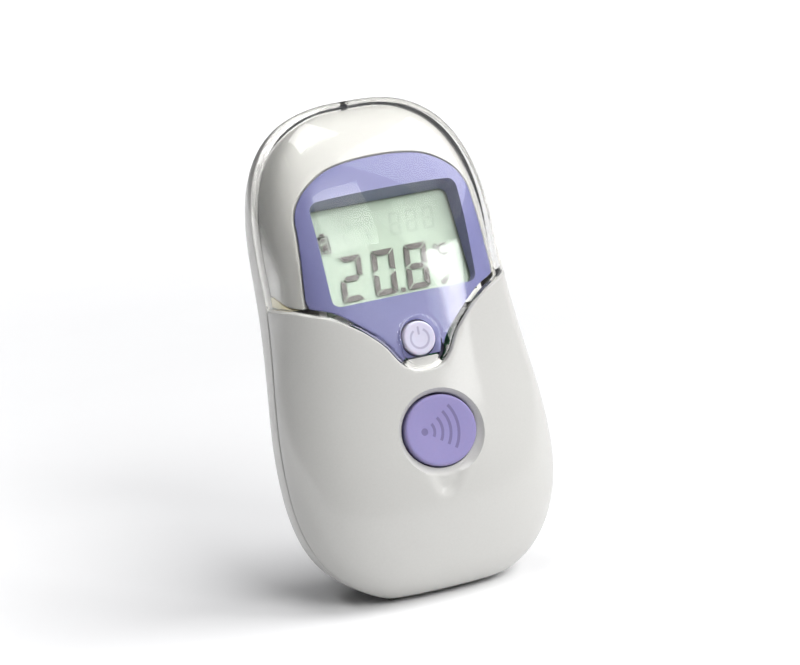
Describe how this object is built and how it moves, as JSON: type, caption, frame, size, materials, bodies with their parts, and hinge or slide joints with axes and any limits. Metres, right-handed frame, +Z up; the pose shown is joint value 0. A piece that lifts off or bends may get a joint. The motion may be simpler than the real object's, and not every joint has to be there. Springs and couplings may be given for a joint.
{
  "type": "digital thermometer",
  "caption": "Handheld non-contact infrared thermometer with a clear-shelled display head, a round scan button and a power button, standing on its flat base.",
  "frame": {"origin": "centre of the bounding box on the floor, under the base", "axes": "+Z up; the display and buttons face -Y, and the body leans back 13 degrees towards +Y; +X is the user's right"},
  "size_m": [0.0576, 0.0428, 0.0984],
  "materials": {
    "pearl_cover": "pearl white, glossy",
    "clear_shell": "clear polycarbonate",
    "head_plastic": "white, glossy",
    "cream_filler": "cream",
    "lavender": "lavender, satin gloss",
    "frosted_lavender": "frosted pale lavender",
    "display_glass": "grey-green liquid crystal glass",
    "diffuser": "white",
    "natural_plastic": "natural white",
    "contact_rubber": "black conductive rubber",
    "board": "green solder mask",
    "chip": "black moulding",
    "plated_steel": "nickel-plated steel",
    "gold_brass": "gold-plated brass",
    "sensor_window": "dark infrared window",
    "cell_jacket": "plain blue jacket"
  },
  "bodies": {
    "housing": {"front_cover": "pearl_cover", "rear_cover": "pearl_cover", "clear_head_shell": "clear_shell", "head_liner": "head_plastic", "seam_filler_left": "cream_filler", "seam_filler_right": "cream_filler", "display_bezel": "lavender", "lcd_glass": "display_glass", "lcd_diffuser": "diffuser", "lcd_carrier": "natural_plastic", "lcd_contact_strip": "contact_rubber", "main_board": "board", "scan_switch": "chip", "power_switch": "chip", "controller_chip": "chip", "memory_chip": "chip", "clock_crystal": "plated_steel", "buzzer": "chip", "sensor_can": "plated_steel", "sensor_sleeve": "gold_brass", "sensor_window": "sensor_window", "sensor_bracket": "natural_plastic", "cell_left": "cell_jacket", "cell_right": "cell_jacket", "contact_spring_left": "plated_steel", "contact_plate_right": "plated_steel", "contact_bridge": "plated_steel", "screw_lower_left": "plated_steel", "screw_lower_right": "plated_steel", "screw_upper_left": "plated_steel", "screw_upper_right": "plated_steel"},
    "scan_button": {"scan_button": "lavender", "scan_plunger": "natural_plastic"},
    "power_button": {"power_button": "frosted_lavender", "power_plunger": "natural_plastic"},
    "battery_door": {"battery_door": "pearl_cover"}
  },
  "joints": [
    {"name": "scan_press", "type": "slide", "parent": "housing", "child": "scan_button", "axis": [0, 0.9744, -0.225], "range_m": [0, 0.0008], "stiffness_N_per_m": 400, "springref_m": -0.0006},
    {"name": "power_press", "type": "slide", "parent": "housing", "child": "power_button", "axis": [0, 0.9744, -0.225], "range_m": [0, 0.0005], "stiffness_N_per_m": 400, "springref_m": -0.0006},
    {"name": "battery_door_slide", "type": "slide", "parent": "housing", "child": "battery_door", "axis": [0, 0.9744, -0.225], "range_m": [0, 0.03]}
  ]
}
